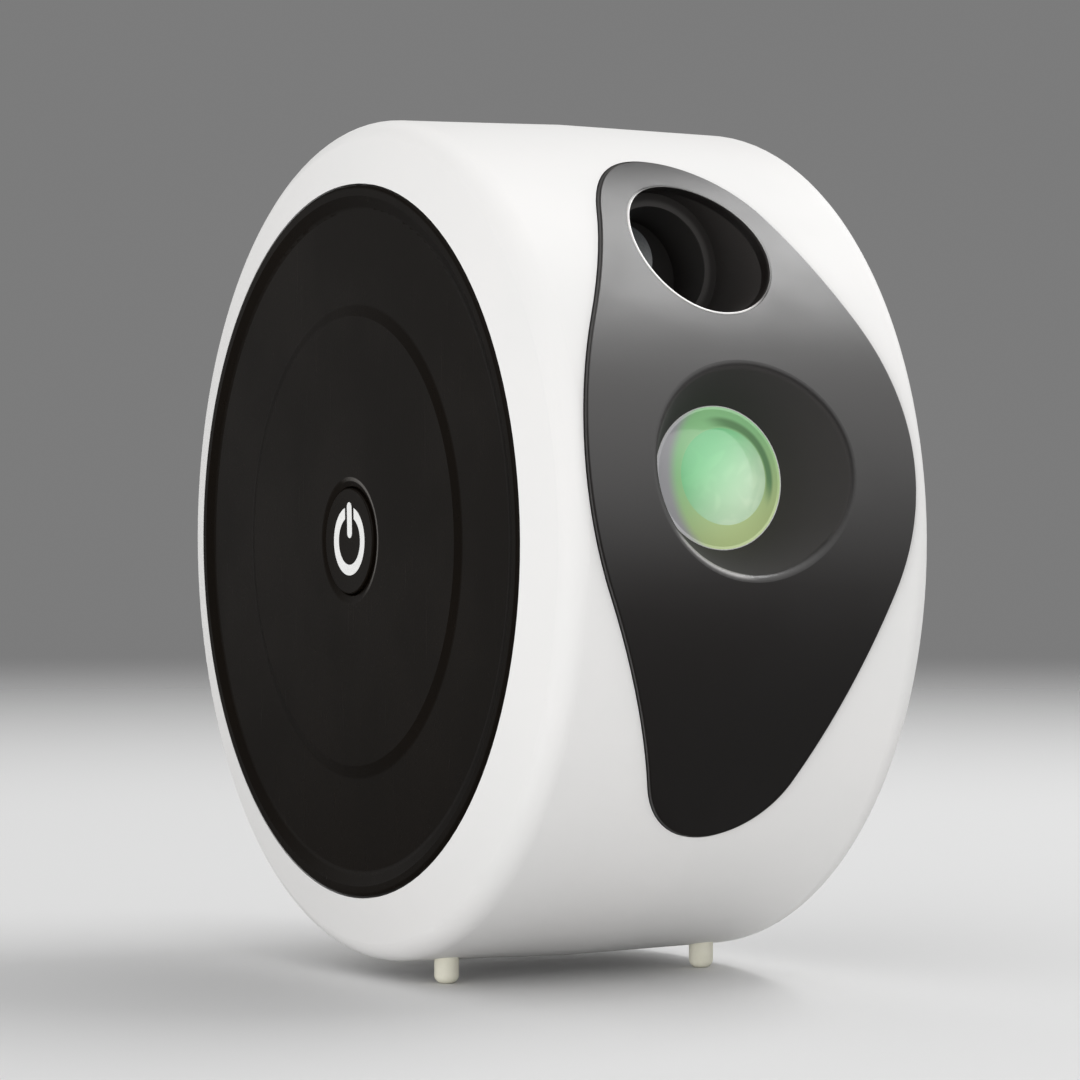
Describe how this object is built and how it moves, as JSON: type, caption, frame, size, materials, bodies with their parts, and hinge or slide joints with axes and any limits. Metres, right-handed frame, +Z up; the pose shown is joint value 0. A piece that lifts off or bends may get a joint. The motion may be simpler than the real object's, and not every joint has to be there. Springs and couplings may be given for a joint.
{
  "type": "laser show projector",
  "caption": "White drum-shaped tabletop projector with black side caps, a dark leaf-shaped front panel, a laser port, a projection lens and a power button.",
  "frame": {"origin": "on the floor under the middle of the object", "axes": "+X to the right along the drum axis, -Y to the front where the light leaves, +Z up"},
  "size_m": [0.0744, 0.1444, 0.1465],
  "materials": {
    "shell_white": "smooth moulded white with a soft gloss",
    "cap_black": "fine satin black",
    "panel_black": "smooth dark satin",
    "symbol_white": "white light guide",
    "lens_glass": "clear dome with a pale green glow",
    "clear_optic": "clear",
    "window_glass": "grey window",
    "inner_black": "plain black",
    "reflector_white": "plain white",
    "gear_plastic": "natural white",
    "film": "clear embossed film",
    "steel": "plain",
    "aluminium": "plain",
    "brass": "turned",
    "led_yellow": "phosphor cover",
    "board_green": "solder mask",
    "chip_black": "plain",
    "capacitor_metal": "plain",
    "socket_metal": "nickel plate",
    "header_ivory": "plain",
    "lead_sleeve": "black sleeve",
    "foot_rubber": "pale soft rubber",
    "seal_rubber": "plain"
  },
  "bodies": {
    "housing": {"left_shell": "shell_white", "right_shell": "shell_white", "left_cap": "cap_black", "right_cap": "cap_black", "front_panel": "panel_black", "lens": "lens_glass", "condenser_lens": "clear_optic", "fixed_ripple_glass": "clear_optic", "laser_collimator": "clear_optic", "laser_window": "window_glass", "lens_barrel": "inner_black", "laser_tube": "inner_black", "optics_chassis": "inner_black", "lamp_reflector": "reflector_white", "motor": "steel", "motor_screws": "steel", "chassis_screws": "steel", "heat_sink_screws": "steel", "laser_holder_screws": "steel", "board_screws": "steel", "receiver_screws": "steel", "button_board_screws": "steel", "shell_screws": "steel", "heat_sink": "aluminium", "laser_holder": "aluminium", "led_board": "aluminium", "laser_module": "brass", "led_emitters": "led_yellow", "main_board": "board_green", "button_board": "board_green", "receiver_board": "board_green", "controller_chip": "chip_black", "power_coil": "chip_black", "remote_receiver": "chip_black", "power_switch": "chip_black", "capacitors": "capacitor_metal", "power_socket": "socket_metal", "wire_headers": "header_ivory", "lamp_lead": "lead_sleeve", "motor_lead": "lead_sleeve", "laser_lead": "lead_sleeve", "button_lead": "lead_sleeve", "receiver_lead": "lead_sleeve", "front_feet": "foot_rubber", "rear_feet": "foot_rubber", "lens_seal": "seal_rubber"},
    "power_button": {"power_button": "cap_black", "power_symbol": "symbol_white", "switch_plunger": "chip_black"},
    "ripple_wheel": {"ripple_wheel": "gear_plastic", "ripple_film": "film"},
    "drive_pinion": {"drive_pinion": "gear_plastic", "motor_shaft": "steel"},
    "grating_wheel": {"grating_wheel": "gear_plastic", "grating_film": "film"}
  },
  "joints": [
    {"name": "power_button_press", "type": "slide", "parent": "housing", "child": "power_button", "axis": [1, 0, 0], "range_m": [0, 0.0006], "stiffness_N_per_m": 2500},
    {"name": "ripple_wheel_spin", "type": "hinge", "parent": "housing", "child": "ripple_wheel", "pos_m": [0, -0.02823, 0.08062], "axis": [0, -0.9903, 0.1392], "continuous": true},
    {"name": "drive_pinion_spin", "type": "hinge", "parent": "housing", "child": "drive_pinion", "pos_m": [0, -0.02505, 0.10319], "axis": [0, -0.9903, 0.1392], "continuous": true},
    {"name": "grating_wheel_spin", "type": "hinge", "parent": "housing", "child": "grating_wheel", "pos_m": [0, -0.02294, 0.11825], "axis": [0, -0.9903, 0.1392], "continuous": true}
  ],
  "couplings": [
    {"joint": "drive_pinion_spin", "follows": "ripple_wheel_spin", "ratio": -3.75},
    {"joint": "grating_wheel_spin", "follows": "ripple_wheel_spin", "ratio": 1.7308}
  ]
}
